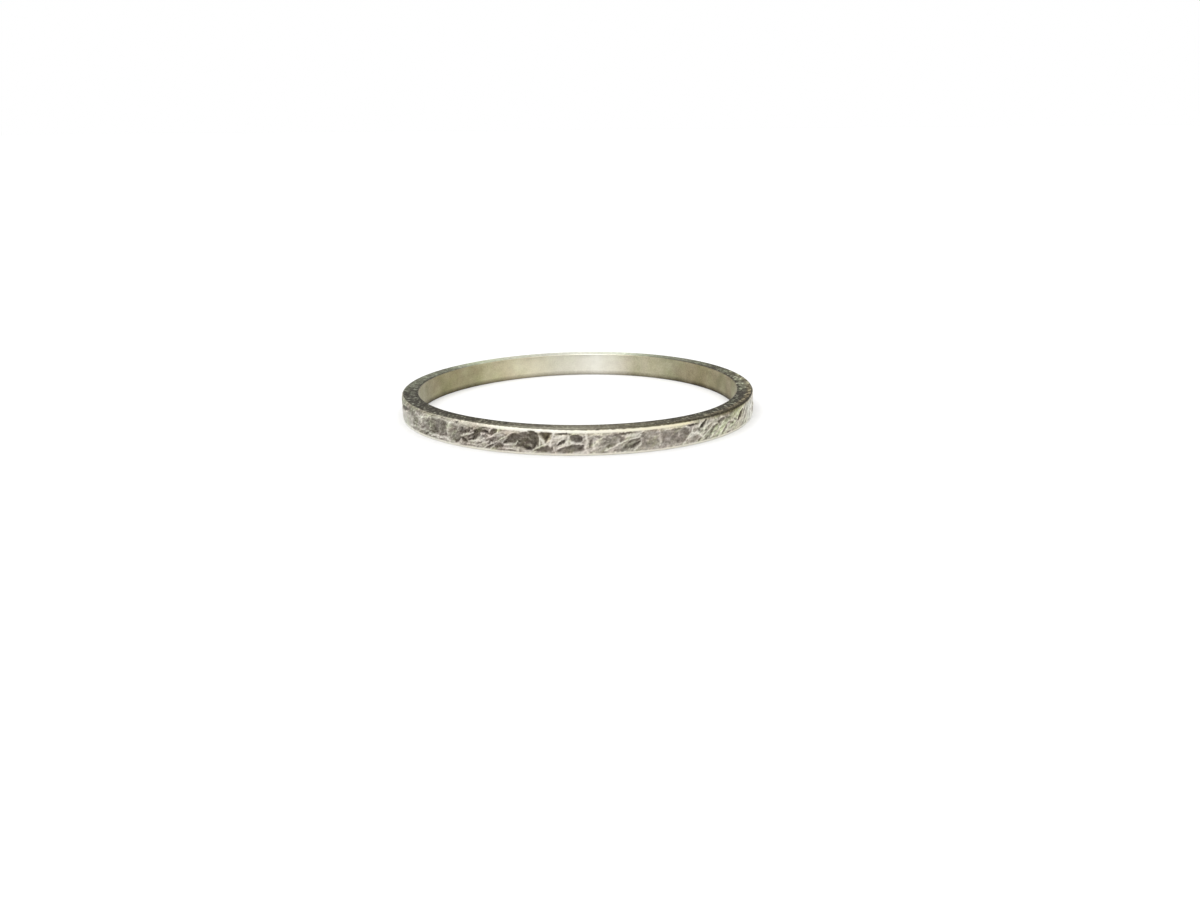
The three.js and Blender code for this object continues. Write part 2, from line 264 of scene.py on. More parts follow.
    Mark(333.6, 0.44, 0.60, 0.070, 42, 1.7, 0.0, 3, 0.040, 0.66),
    Mark(335.8, 0.62, 0.56, 0.060, 46, 1.7, 0.0, 3, 0.040, 0.62),
    Mark(333.4, 0.98, 0.34, 0.070, 40, 1.7, 0.0, 3, 0.040, 0.66),
    Mark(337.5, 0.92, 0.44, 0.120, 30, 1.8, 0.0, 3, 0.045, 0.42),
    Mark(342.0, 0.50, 0.60, 0.240, 14, 2.2, 0.0, 2, 0.045, 0.30),
]

# Raised lines between the marks, rubbed bright. from and to are their ends; rise is how high they stand and shine how
# far they are rubbed clear of oxide.
Ridge = namedtuple("Ridge", "angle0 z0 angle1 z1 width rise shine")
FRONT_RIDGES = [
    #     angle0  z0   angle1  z1   width  rise  shine
    Ridge(228.9, 0.30, 228.4, 0.60, 0.050, 0.010, 0.14),
    Ridge(228.4, 0.70, 229.2, 1.10, 0.075, 0.014, 0.48),
    Ridge(228.6, 0.82, 229.2, 1.06, 0.110, 0.012, 0.55),
    Ridge(227.6, 1.10, 231.0, 1.15, 0.035, 0.010, 0.45),
    Ridge(233.5, 0.58, 238.4, 0.80, 0.040, 0.018, 0.75),
    Ridge(231.0, 1.02, 236.0, 1.14, 0.060, 0.010, 0.35),
    Ridge(216.0, 1.17, 222.0, 1.18, 0.028, 0.008, 0.50),
    Ridge(219.5, 0.28, 227.0, 0.28, 0.050, 0.012, 0.70),
    Ridge(220.2, 0.20, 222.4, 0.24, 0.030, 0.010, 0.80),
    Ridge(223.6, 0.18, 225.8, 0.24, 0.030, 0.010, 0.80),
    Ridge(226.4, 0.34, 229.0, 0.26, 0.036, 0.010, 0.70),
    Ridge(214.2, 0.30, 217.2, 0.42, 0.040, 0.010, 0.50),
    Ridge(207.0, 0.28, 211.0, 0.36, 0.050, 0.010, 0.45),
    Ridge(227.0, 0.25, 233.0, 0.10, 0.060, 0.010, 0.55),
    Ridge(222.4, 0.78, 223.6, 0.70, 0.022, 0.006, 0.38),
    Ridge(217.0, 1.02, 220.5, 1.12, 0.040, 0.012, 0.60),
    Ridge(213.0, 0.93, 216.5, 0.99, 0.050, 0.010, 0.40),
    Ridge(233.4, 0.33, 233.9, 0.20, 0.050, 0.010, 0.40),
    Ridge(240.6, 0.80, 242.6, 0.84, 0.045, 0.022, 0.90),
    Ridge(242.4, 0.84, 244.0, 0.76, 0.028, 0.016, 0.80),
    Ridge(243.8, 1.00, 244.6, 1.20, 0.030, 0.012, 0.70),
    Ridge(236.6, 0.36, 240.4, 0.50, 0.040, 0.018, 0.80),
    Ridge(240.4, 0.50, 245.0, 0.76, 0.030, 0.018, 0.80),
    Ridge(240.6, 0.44, 244.6, 0.46, 0.032, 0.012, 0.60),
    Ridge(245.0, 0.76, 246.6, 0.98, 0.045, 0.016, 0.70),
    Ridge(241.4, 0.10, 244.4, 0.36, 0.024, 0.020, 0.95),
    Ridge(244.4, 0.36, 249.6, 0.86, 0.026, 0.022, 0.90),
    Ridge(249.6, 0.86, 252.2, 1.12, 0.036, 0.016, 0.80),
    Ridge(246.6, 0.80, 251.0, 1.12, 0.090, 0.010, 0.45),
    Ridge(236.0, 0.22, 241.0, 0.24, 0.045, 0.012, 0.60),
    Ridge(251.8, 0.42, 252.3, 0.60, 0.030, 0.030, 0.80),
    Ridge(252.4, 0.62, 253.1, 0.54, 0.024, 0.030, 0.60),
    Ridge(248.2, 0.24, 252.8, 0.24, 0.060, 0.016, 0.85),
    Ridge(248.0, 0.43, 251.8, 0.45, 0.050, 0.010, 0.50),
    Ridge(253.4, 0.82, 255.0, 0.80, 0.026, 0.010, 0.26),
    Ridge(254.6, 0.56, 256.8, 0.38, 0.022, 0.012, 0.26),
    Ridge(256.2, 0.56, 258.0, 0.36, 0.018, 0.010, 0.20),
    Ridge(257.0, 0.23, 260.3, 0.51, 0.034, 0.026, 0.95),
    Ridge(259.2, 0.42, 259.2, 0.92, 0.055, 0.020, 0.85),
    Ridge(260.0, 0.60, 260.7, 0.50, 0.050, 0.014, 0.60),
    Ridge(259.5, 0.84, 260.4, 0.62, 0.075, 0.012, 0.75),
    Ridge(262.2, 0.44, 262.7, 0.78, 0.050, 0.022, 0.90),
    Ridge(262.8, 0.80, 263.4, 1.12, 0.050, 0.018, 0.80),
    Ridge(263.4, 0.86, 266.8, 0.98, 0.075, 0.012, 0.55),
    Ridge(263.2, 0.42, 263.9, 0.14, 0.034, 0.012, 0.60),
    Ridge(264.0, 0.60, 266.6, 0.86, 0.026, 0.016, 0.70),
    Ridge(267.3, 0.50, 267.5, 1.04, 0.060, 0.014, 0.50),
    Ridge(266.4, 0.50, 268.2, 0.56, 0.030, 0.014, 0.50),
    Ridge(268.4, 0.64, 271.6, 0.58, 0.040, 0.022, 0.90),
    Ridge(273.0, 0.10, 272.4, 0.40, 0.085, 0.020, 0.66),
    Ridge(272.4, 0.40, 273.0, 0.72, 0.110, 0.020, 0.60),
    Ridge(273.0, 0.72, 272.3, 1.14, 0.075, 0.018, 0.66),
    Ridge(271.2, 0.16, 272.4, 0.30, 0.060, 0.014, 0.60),
    Ridge(275.1, 0.20, 274.8, 0.60, 0.024, 0.010, 0.30),
    Ridge(274.8, 0.66, 275.2, 1.00, 0.022, 0.010, 0.24),
    Ridge(277.2, 0.88, 278.0, 0.86, 0.040, 0.010, 0.40),
    Ridge(279.0, 0.86, 281.0, 0.88, 0.034, 0.010, 0.36),
    Ridge(278.0, 0.70, 279.0, 0.64, 0.034, 0.008, 0.26),
    Ridge(278.0, 0.22, 281.4, 0.46, 0.050, 0.020, 0.70),
    Ridge(281.4, 0.46, 284.2, 0.70, 0.050, 0.020, 0.80),
    Ridge(284.2, 0.72, 287.6, 0.80, 0.050, 0.018, 0.75),
    Ridge(284.0, 0.92, 287.8, 0.98, 0.085, 0.012, 0.60),
    Ridge(286.4, 0.12, 288.7, 0.50, 0.040, 0.018, 0.80),
    Ridge(283.4, 0.50, 285.0, 0.58, 0.030, 0.012, 0.24),
    Ridge(290.2, 0.62, 291.0, 0.58, 0.030, 0.006, 0.25),
    Ridge(294.6, 0.50, 294.4, 0.96, 0.060, 0.010, 0.16),
    Ridge(294.4, 0.28, 294.6, 0.46, 0.044, 0.008, 0.55),
    Ridge(297.0, 0.42, 298.0, 0.40, 0.030, 0.006, 0.20),
    Ridge(300.8, 0.90, 301.4, 0.84, 0.030, 0.006, 0.30),
    Ridge(302.2, 0.14, 304.8, 0.58, 0.048, 0.022, 0.80),
    Ridge(304.8, 0.58, 306.0, 0.94, 0.060, 0.018, 0.65),
    Ridge(305.2, 0.66, 307.2, 0.62, 0.070, 0.012, 0.65),
    Ridge(306.0, 0.86, 308.4, 0.92, 0.070, 0.012, 0.45),
    Ridge(307.4, 0.60, 309.4, 0.34, 0.045, 0.020, 0.80),
    Ridge(308.8, 0.16, 310.4, 0.22, 0.055, 0.012, 0.60),
    Ridge(310.0, 0.32, 313.2, 0.76, 0.040, 0.020, 0.60),
    Ridge(309.6, 0.74, 311.8, 0.90, 0.050, 0.014, 0.55),
    Ridge(313.6, 0.84, 316.0, 0.86, 0.060, 0.012, 0.45),
    Ridge(312.4, 1.06, 318.0, 1.10, 0.060, 0.010, 0.35),
    Ridge(314.4, 0.24, 316.2, 0.30, 0.060, 0.014, 0.45),
    Ridge(316.6, 0.46, 318.6, 0.78, 0.060, 0.014, 0.40),
    Ridge(319.6, 1.06, 320.6, 0.92, 0.030, 0.014, 0.50),
    Ridge(324.4, 0.72, 327.6, 0.98, 0.110, 0.012, 0.40),
    Ridge(325.4, 0.60, 327.4, 0.70, 0.090, 0.010, 0.40),
    Ridge(331.2, 0.52, 333.4, 0.76, 0.060, 0.014, 0.40),
    Ridge(320.4, 0.30, 326.0, 0.28, 0.060, 0.012, 0.35),
    Ridge(331.6, 0.56, 335.2, 1.02, 0.060, 0.014, 0.66),
    Ridge(333.8, 0.28, 338.0, 0.86, 0.060, 0.014, 0.60),
    Ridge(317.0, 0.62, 322.4, 0.74, 0.050, 0.012, 0.50),
    Ridge(322.6, 0.42, 328.2, 0.60, 0.050, 0.012, 0.55),
    Ridge(284.2, 0.86, 287.6, 0.90, 0.050, 0.008, 0.50),
    Ridge(247.4, 0.98, 250.2, 1.12, 0.060, 0.010, 0.40),
]

# Broad stains on the outer face, and along the upper bevel at the right a band of painted shade: how far they reach
# either way, how much darker (or lighter), how much greener and how much yellower.
StainAndShade = namedtuple("StainAndShade", "angle z reach_deg reach_z darker green yellow")
STAINS_AND_SHADE = [
    StainAndShade(196.0, 0.35, 10, 0.45, -0.16, 0.15, 0.0),
    StainAndShade(199.0, 1.14, 9, 0.28, 0.14, 0.75, 0.2),
    StainAndShade(212.0, 1.26, 11, 0.11, 0.24, 0.60, 0.2),
    StainAndShade(210.5, 0.80, 3, 0.30, 0.08, 0.00, 0.0),
    StainAndShade(208.0, 0.60, 8, 0.60, 0.07, 0.40, 0.0),
    StainAndShade(216.0, 0.35, 6, 0.30, 0.16, 0.30, 0.0),
    StainAndShade(215.5, 0.85, 3.0, 0.25, -0.26, 0.20, 0.0),
    StainAndShade(220.0, 0.75, 2.6, 0.50, 0.16, 0.65, 0.1),
    StainAndShade(225.0, 0.80, 2.5, 0.40, 0.18, 0.00, 0.0),
    StainAndShade(229.5, 0.80, 4, 0.30, 0.10, 0.60, 0.1),
    StainAndShade(237.5, 1.08, 4, 0.15, -0.10, 0.60, 0.2),
    StainAndShade(241.0, 0.35, 4, 0.25, -0.20, 0.00, 0.0),
    StainAndShade(235.5, 0.45, 4, 0.35, 0.26, 0.00, 0.0),
    StainAndShade(234.0, 0.82, 3, 0.20, 0.16, 0.00, 0.0),
    StainAndShade(240.5, 0.85, 3.5, 0.25, 0.40, 0.00, 0.0),
    StainAndShade(247.0, 0.45, 4, 0.40, 0.22, 0.00, 0.0),
    StainAndShade(249.0, 1.00, 4, 0.15, -0.04, 0.00, 0.4),
    StainAndShade(258.0, 0.70, 3, 0.60, 0.14, 0.30, 0.1),
    StainAndShade(258.0, 0.88, 2.2, 0.20, 0.26, 0.00, 0.0),
    StainAndShade(261.2, 0.95, 1.2, 0.25, -0.06, 0.00, 0.9),
    StainAndShade(252.0, 0.60, 1.6, 0.30, 0.00, 0.40, 0.1),
    StainAndShade(265.0, 0.85, 3, 0.25, -0.10, 0.00, 0.1),
    StainAndShade(270.0, 0.30, 9, 0.30, -0.12, 0.00, 0.0),
    StainAndShade(270.5, 0.80, 3, 0.30, 0.10, 0.00, 0.0),
    StainAndShade(275.0, 0.60, 3, 0.50, -0.04, 0.20, 0.0),
    StainAndShade(274.0, 1.05, 10, 0.07, -0.08, 0.20, 0.3),
    StainAndShade(281.0, 0.82, 3, 0.25, 0.30, 0.00, 0.0),
    StainAndShade(276.0, 0.85, 2.0, 0.22, -0.19, 0.00, 0.0),
    StainAndShade(286.0, 0.45, 3, 0.30, 0.00, 0.45, 0.1),
    StainAndShade(285.0, 0.92, 5, 0.20, -0.12, 0.00, 0.1),
    StainAndShade(293.0, 0.35, 5, 0.25, -0.10, 0.00, 0.0),
    StainAndShade(293.0, 0.85, 4, 0.25, 0.10, 0.00, 0.0),
    StainAndShade(298.0, 1.06, 6, 0.06, -0.22, 0.00, 0.5),
    StainAndShade(300.0, 0.60, 5, 0.50, 0.03, 0.00, 0.0),
    StainAndShade(306.5, 0.40, 4, 0.35, -0.14, 0.00, 0.0),
    StainAndShade(312.0, 0.45, 4, 0.50, 0.06, 0.50, 0.1),
    StainAndShade(312.5, 0.85, 3, 0.22, -0.16, 0.00, 0.0),
    StainAndShade(318.0, 0.35, 5, 0.35, -0.30, 0.55, 0.0),
    # painted shade: the dark brown band along the upper bevel at the right, where the bevel is in shade
    StainAndShade(325.0, 1.24, 10, 0.11, 0.60, 0.90, 0.9),
    StainAndShade(322.0, 0.80, 9, 0.50, 0.10, 0.80, 0.10),
    StainAndShade(336.5, 0.85, 3, 0.30, 0.10, 0.00, 0.0),
    StainAndShade(331.0, 0.95, 3.5, 0.30, -0.20, 0.00, 0.0),
    StainAndShade(327.0, 0.92, 5, 0.25, -0.10, 1.00, 0.45),
    StainAndShade(331.0, 0.30, 7, 0.35, -0.22, 0.30, 0.1),
    StainAndShade(340.0, 0.60, 8, 0.90, -0.20, 0.10, 0.0),
    StainAndShade(346.0, 0.60, 5, 0.90, -0.22, 0.00, 0.0),
]

# How dark the flat top side is round the band, how green and how warm, how gritty with bright scratches, and how dark a
# line of painted shade runs along its inner edge. Its light stretch at the back, 75 to 135, is partly clean metal and
# partly a painted reflection.
Side = namedtuple("Side", "angle tone green warm gritty lined")
TOP_SIDE = [
    #    angle tone green warm gritty lined
    Side(0, 0.84, 0.90, 0.1, 1.5, 0.7), Side(15, 0.89, 1.00, 0.1, 1.3, 1.0), Side(30, 0.90, 1.00, 0.0, 0.7, 1.0),
    Side(45, 0.77, 1.00, 0.0, 0.5, 0.9), Side(60, 0.64, 1.00, 0.0, 0.4, 0.6), Side(75, 0.15, 0.50, 0.0, 0.2, 0.1),
    Side(90, 0.12, 0.25, 0.0, 0.1, 0.0), Side(105, 0.31, 0.35, 0.0, 0.2, 0.1), Side(120, 0.34, 0.60, 0.1, 0.3, 0.2),
    Side(135, 0.40, 1.00, 0.1, 0.4, 0.2), Side(150, 0.77, 1.00, 0.0, 0.5, 0.4), Side(165, 0.79, 1.00, 0.0, 0.6, 0.6),
    Side(180, 0.86, 1.00, 0.0, 0.8, 0.7), Side(195, 1.02, 0.60, 0.0, 0.9, 0.6), Side(210, 1.07, 0.60, 0.0, 0.9, 0.3),
    Side(225, 1.04, 0.70, 0.1, 0.9, 0.2), Side(240, 0.96, 0.60, 0.2, 0.7, 0.2), Side(255, 0.83, 0.50, 0.1, 0.4, 0.2),
    Side(270, 0.74, 0.40, 0.1, 0.3, 0.2), Side(285, 0.84, 0.50, 0.3, 0.3, 0.2), Side(300, 0.92, 0.70, 0.1, 0.5, 0.2),
    Side(315, 0.97, 0.90, 0.0, 0.8, 0.2), Side(330, 1.08, 0.90, 0.0, 1.0, 0.3), Side(345, 1.03, 0.70, 0.1, 1.2, 0.5),
    Side(360, 0.84, 0.90, 0.1, 1.5, 0.7),
]

# The inner wall round the band: how dark, and how warm. Its darkness is partly tarnish and partly a painted reflection,
# lightest at the back, where the wall faces the front, and darker towards the sides.
Wall = namedtuple("Wall", "angle tone warm")
WALL_TARNISH_AND_REFLECTION = [
    Wall(0, 0.50, 0.55), Wall(9, 0.60, 0.80), Wall(20, 0.57, 0.75), Wall(35, 0.56, 0.90), Wall(44, 0.50, 0.70),
    Wall(52, 0.44, 0.50), Wall(60, 0.31, 0.50), Wall(68, 0.30, 0.45), Wall(75, 0.13, 0.20), Wall(84, 0.00, 0.05),
    Wall(93, 0.10, 0.15), Wall(100, 0.14, 0.20), Wall(110, 0.13, 0.40), Wall(121, 0.20, 0.60), Wall(131, 0.28, 0.65),
    Wall(140, 0.46, 0.80), Wall(153, 0.50, 0.90), Wall(164, 0.50, 0.80), Wall(175, 0.50, 0.50), Wall(190, 0.44, 0.40),
    Wall(220, 0.32, 0.40), Wall(270, 0.22, 0.30), Wall(320, 0.30, 0.40), Wall(345, 0.42, 0.50), Wall(360, 0.50, 0.50),
]


def more_marks(start, end, seed):
    """Marks and ridges in the same hand for the stretch of the band that the front table doesn't chart."""
    rng = np.random.RandomState(seed)
    marks, ridges = [], []
    angle = start
    while angle < end:
        low = rng.uniform() < 0.5
        z = rng.uniform(0.36, 0.54) if low else rng.uniform(0.70, 0.92)
        long = rng.uniform(0.36, 0.86)
        wide = rng.uniform(0.20, 0.40)
        slant = rng.uniform(-14, 34)
        deep = rng.uniform(0.055, 0.105)
        marks.append(Mark(angle, z, long, wide, slant, rng.uniform(1.7, 4.0), rng.uniform(-0.2, 0.35),
                          rng.choice([2, 3, 4]), deep, rng.uniform(0.42, 0.84)))
        # a smaller mark fills what the big one leaves
        marks.append(Mark(angle + rng.uniform(-2, 2), 1.28 - z, rng.uniform(0.16, 0.42), rng.uniform(0.05, 0.16),
                          rng.uniform(-20, 45), rng.uniform(1.5, 2.4), 0.0, 3, rng.uniform(0.03, 0.08),
                          rng.uniform(0.5, 0.92)))
        if rng.uniform() < 0.6:  # a gash
            marks.append(Mark(angle + rng.uniform(-3, 3), rng.uniform(0.15, 1.15), rng.uniform(0.12, 0.34),
                              rng.uniform(0.03, 0.06), rng.uniform(0, 50), 1.6, 0.0, 4, rng.uniform(0.03, 0.08),
                              rng.uniform(0.75, 0.97)))
        step = long * 2 / OUTER_RADIUS * 180 / math.pi * rng.uniform(0.66, 0.92)
        edge = angle + step * 0.52
        for _ in range(rng.randint(1, 4)):
            a0, z0 = edge + rng.uniform(-2.2, 2.2), rng.uniform(0.12, 0.7)
            ridges.append(Ridge(a0, z0, a0 + rng.uniform(-0.6, 3.4), min(z0 + rng.uniform(0.1, 0.5), 1.14),
                                rng.uniform(0.025, 0.075), rng.uniform(0.010, 0.024), rng.uniform(0.4, 0.9)))
        angle += step
    return marks, ridges


back_marks, back_ridges = more_marks(347.0, 549.0, 2031)
MARKS = back_marks + FRONT_MARKS
RIDGES = back_ridges + FRONT_RIDGES


# ------------------------------------------------------------------ sections round the band
def station_angles():
    """Angles of the sections, closer together at the front, starting at the back."""
    fine = np.linspace(90.0, 450.0, 20001)
    share = 1.0 + (FRONT_SHARE - 1.0) * ease((np.cos(np.radians(fine - 270.0)) + 0.35) / 0.6)
    total = np.concatenate([[0.0], np.cumsum((share[1:] + share[:-1]) / 2)])
    total /= total[-1]
    return np.interp(np.arange(STATIONS) / STATIONS, total, fine)


def out_of_round(deg):
    return sum(r.push * np.cos(np.radians(r.lobes * (deg - r.angle))) for r in OUT_OF_ROUND)


def by_angle(rows, deg, column):
    """A column of a table of angles 0 to 360, smoothly joined."""
    return np.interp(deg % 360.0, [r.angle for r in rows], [getattr(r, column) for r in rows])


angles = station_angles()


def face_radius(z):
    t = 2 * z / HEIGHT - 1
    return OUTER_RADIUS - FACE_CROWN * t * t


def corner(count, power):
    """Steps across and up a rounded corner, 0 to 1, both ends left out. power 1 is a straight bevel and 2 a round one."""
    out = []
    for i in range(1, count + 1):
        t = math.pi / 2 * i / (count + 1)
        out.append((1 - math.cos(t) ** (2 / power), math.sin(t) ** (2 / power)))
    return out


def profile(inward, down):
    """Points round a section, anticlockwise with outwards to the right, as (zone, radius, height)."""
    edge_top = face_radius(HEIGHT) - inward
    edge_low = face_radius(0.0) - LOW_WEAR[0]
    low, high = LOW_WEAR[1], HEIGHT - down
    out = [("low_side", r, 0.0) for r in np.linspace(INNER_RADIUS + INNER_WEAR, edge_low, ROWS["low_side"])]
    out += [("low_outer", edge_low + (face_radius(low) - edge_low) * up, low * across)
            for across, up in corner(ROWS["low_outer"], 2.0)]
    out += [("face", face_radius(z), z) for z in np.linspace(low, high, ROWS["face"])]
    out += [("top_outer", face_radius(high) + (edge_top - face_radius(high)) * across, high + down * up)
            for across, up in corner(ROWS["top_outer"], 1.35)]
    out += [("top_side", r, HEIGHT) for r in np.linspace(edge_top, INNER_RADIUS + INNER_WEAR, ROWS["top_side"])]
    out += [("top_inner", INNER_RADIUS + INNER_WEAR * (1 - up), HEIGHT - INNER_WEAR * across)
            for across, up in corner(ROWS["top_inner"], 2.0)]
    out += [("wall", INNER_RADIUS, z) for z in np.linspace(HEIGHT - INNER_WEAR, INNER_WEAR, ROWS["wall"])]
    out += [("low_inner", INNER_RADIUS + INNER_WEAR * across, INNER_WEAR * (1 - up))
            for across, up in corner(ROWS["low_inner"], 2.0)]
    return out


# The section changes little by little round the band, so it is mixed from those of the table's rows.
sections = [profile(e.inward, e.down) for e in UPPER_EDGE]
zone = np.array([p[0] for p in sections[0]])
edge_angles = [e.angle for e in UPPER_EDGE]
N, K = STATIONS, len(zone)
A = np.repeat(angles[:, None], K, axis=1)
R = np.stack([np.interp(angles % 360.0, edge_angles, [sec[k][1] for sec in sections]) for k in range(K)], axis=1)
Z = np.stack([np.interp(angles % 360.0, edge_angles, [sec[k][2] for sec in sections]) for k in range(K)], axis=1)
radius = np.array([p[1] for p in sections[0]])
height = np.array([p[2] for p in sections[0]])
CX, CY = np.cos(np.radians(A)), np.sin(np.radians(A))

outer = np.isin(zone, ["low_outer", "face", "top_outer"])
top = zone == "top_side"
inner = np.isin(zone, ["wall", "top_inner", "low_inner"])


# ------------------------------------------------------------------ the hammered face
ROUND = 2 * math.pi * OUTER_RADIUS


def slanted(a, z, degrees, fine_along, fine_across, seed, octaves=3, fall=0.6):
    """Noise drawn out along lines that climb towards growing angles. It closes on itself at the back of the band."""
    c, s = math.cos(math.radians(degrees)), math.sin(math.radians(degrees))
    run = turn(a, 270.0) / 360.0 * ROUND

    def at(x):
        return cloud((x * c + z * s) * fine_along, (-x * s + z * c) * fine_across, 0 * z + 0.5, seed, octaves, fall)

    blend = ease((run - (ROUND / 2 - 2.0)) / 2.0)
    return at(run) * (1 - blend) + at(run - ROUND) * blend


def hammer(a, z):
    """Depth of the marks, oxide tone with its stains and a band of painted shade, green and yellow tarnish and rub at
    the face's points, a and z of one shape.
    """
    x, y = OUTER_RADIUS * np.cos(np.radians(a)), OUTER_RADIUS * np.sin(np.radians(a))
    # ragged outlines: the points are moved a little before the marks are looked up
    coarse, middling, fine = (x * 2.7, y * 2.7, z * 2.7), (x * 7.5, y * 7.5, z * 7.5), (x * 15, y * 15, z * 15)
    wa = a + (cloud(*coarse, 11, 2) * 0.055 + cloud(*middling, 12, 2) * 0.042 + noise3(*fine, 15) * 0.018) / OUTER_RADIUS * 57.3
    wz = z + cloud(*coarse, 13, 2) * 0.045 + cloud(*middling, 14, 2) * 0.040 + noise3(*fine, 16) * 0.016
    rough_edge = cloud(x * 9, y * 9, z * 9, 17, 2)
    depth = np.zeros_like(a)
    base = np.full_like(a, BASE_TONE)
    green = np.zeros_like(a)
    yellow = np.zeros_like(a)
    for s in STAINS_AND_SHADE:
        w = np.exp(-(turn(a, s.angle) / s.reach_deg) ** 2 - ((z - s.z) / s.reach_z) ** 2)
        base += s.darker * w
        green += s.green * w
        yellow += s.yellow * w
    stain_and_shade = base - BASE_TONE
    # between the marks the metal is drawn out in slanting lines, some rubbed and some holding oxide
    lines = slanted(a, z, 38, 1.5, 6.5, 18, 3, 0.65)
    veins = 1 - np.abs(slanted(wa, wz, 30, 1.6, 3.6, 19, 2)) * 3.2
    base += 0.20 * lines - 0.24 * ease((veins - 0.55) / 0.45)
    tone = base.copy()
    for m in MARKS:
        near = np.abs(turn(angles, m.angle)) < (max(m.long, m.wide) * 1.6 + 0.2) / OUTER_RADIUS * 57.3
        if not near.any():
            continue
        along = turn(wa[near], m.angle) * math.pi / 180 * OUTER_RADIUS
        up = wz[near] - m.z
        c, s = math.cos(math.radians(m.slant)), math.sin(math.radians(m.slant))
        p = (along * c + up * s) / m.long
        q = (-along * s + up * c) / (m.wide * np.clip(1 + m.taper * p, 0.06, 2.0))
        d = (np.abs(p) ** m.corner + np.abs(q) ** m.corner) ** (1 / m.corner)
        dip = m.depth * (1 - np.minimum(d, 1.2) ** m.floor)
        depth[near] = np.maximum(depth[near], dip)
        size = min(m.long, m.wide * 1.2)
        d = d + rough_edge[near] * 0.022 / size
        soft = max(0.055 / size, 1e-3)
        inside = ease((1.0 + soft * 0.5 - d) / soft)
        # the darkest oxide lies towards the middle of a mark
        deep = MARK_LIGHTEST + MARK_RANGE * m.tone + stain_and_shade[near] * 0.5 + 0.07 * (0.5 - np.minimum(d, 1.0) ** 2)
        drag = noise3(p * m.long * 2.2, q * m.wide * 8.0, np.full_like(p, m.angle), 21)  # the hammer's own lines
        deep = deep + 0.26 * drag + 0.30 * (base[near] - BASE_TONE - stain_and_shade[near])
        tone[near] = tone[near] * (1 - inside) + deep * inside
    rub = np.zeros_like(a)
    broken = np.clip(0.95 + 0.75 * cloud(x * 5.5, y * 5.5, z * 5.5, 20, 2), 0.25, 1.25)
    for r in RIDGES:
        mid = (r.angle0 + r.angle1) / 2
        reach = abs(r.angle1 - r.angle0) / 2 + (r.width * 3 + 0.2) / OUTER_RADIUS * 57.3
        near = np.abs(turn(angles, mid)) < reach
        if not near.any():
            continue
        k = math.pi / 180 * OUTER_RADIUS
        px = turn(wa[near], r.angle0) * k
        pz = wz[near] - r.z0
        dx, dz = (r.angle1 - r.angle0) * k, r.z1 - r.z0
        t = np.clip((px * dx + pz * dz) / (dx * dx + dz * dz), 0, 1)
        dist = np.hypot(px - t * dx, pz - t * dz)
        width = r.width * 0.92 * broken[near]
        w = np.exp(-(dist / width) ** 2 * 1.2)
        depth[near] -= r.rise * w
        rub[near] = np.maximum(rub[near], np.minimum(r.shine * 1.28, 1.0) * w * np.minimum(broken[near], 1.0))
    return depth, tone, np.clip(green, 0, 1), np.clip(yellow, 0, 1), rub


BASE_TONE = 0.49
MARK_LIGHTEST, MARK_RANGE = 0.17, 0.64  # tones of marks charted 0 and what is added for those charted 1

# heights on the face, as the table charts them, with the band's spread at the top taken out
Ao, Zo = A[:, outer], Z[:, outer]
depth, tone, green, yellow, rub = hammer(Ao, Zo)
xo, yo = OUTER_RADIUS * np.cos(np.radians(Ao)), OUTER_RADIUS * np.sin(np.radians(Ao))
# small unevenness of hammered and brushed metal: lumps, grain, and fine lines along the band
depth += 0.012 * cloud(xo * 2.2, yo * 2.2, Zo * 2.6, 31, 3)
depth += 0.0065 * cloud(xo * 9.0, yo * 9.0, Zo * 9.0, 32, 3)
depth += 0.0060 * slanted(Ao, Zo, 38, 1.5, 8.0, 33)
# at the left end the lower part of the face is worn smooth
smooth = np.interp(Ao % 360, [0, 190, 196, 205, 210, 360], [0, 0, 1, 1, 0, 0]) * ease((0.84 - Zo) / 0.16)
depth *= 1 - 0.6 * smooth

# what stands above its surroundings is rubbed, and what lies below them holds oxide
level = -depth
size = 5
kernel = np.exp(-np.linspace(-1.6, 1.6, 2 * size + 1) ** 2)
kernel /= kernel.sum()
padded = np.concatenate([level[-size:], level, level[:size]])
around = sum(kernel[i] * padded[i:i + N] for i in range(2 * size + 1))
padded = np.concatenate([np.repeat(around[:, :1], size, 1), around, np.repeat(around[:, -1:], size, 1)], axis=1)
around = sum(kernel[i] * padded[:, i:i + level.shape[1]] for i in range(2 * size + 1))
proud = (level - around) / 0.012

zones = zone[outer]
down = by_angle(UPPER_EDGE, Ao, "down")
above = np.clip((Zo - (HEIGHT - down)) / down, 0, 1)  # 0 at the foot of the upper bevel and 1 at its top
face_weight = 1 - ease(above) * 0.75
face_weight[:, zones == "low_outer"] = (ease(Zo / LOW_WEAR[1]) * 0.7)[:, zones == "low_outer"]
R[:, outer] -= depth * face_weight

tone = tone - 0.19 * np.clip(proud, 0, 1.2) + 0.10 * np.clip(-proud, 0, 1.2)
tone += 0.16 * cloud(xo * 4.2, yo * 4.2, Zo * 4.2, 41, 3, 0.7) + 0.17 * cloud(xo * 9.0, yo * 9.0, Zo * 9.0, 42, 2, 0.8)
tone += 0.05 * noise3(xo * 1.6, yo * 1.6, Zo * 28.0, 43)
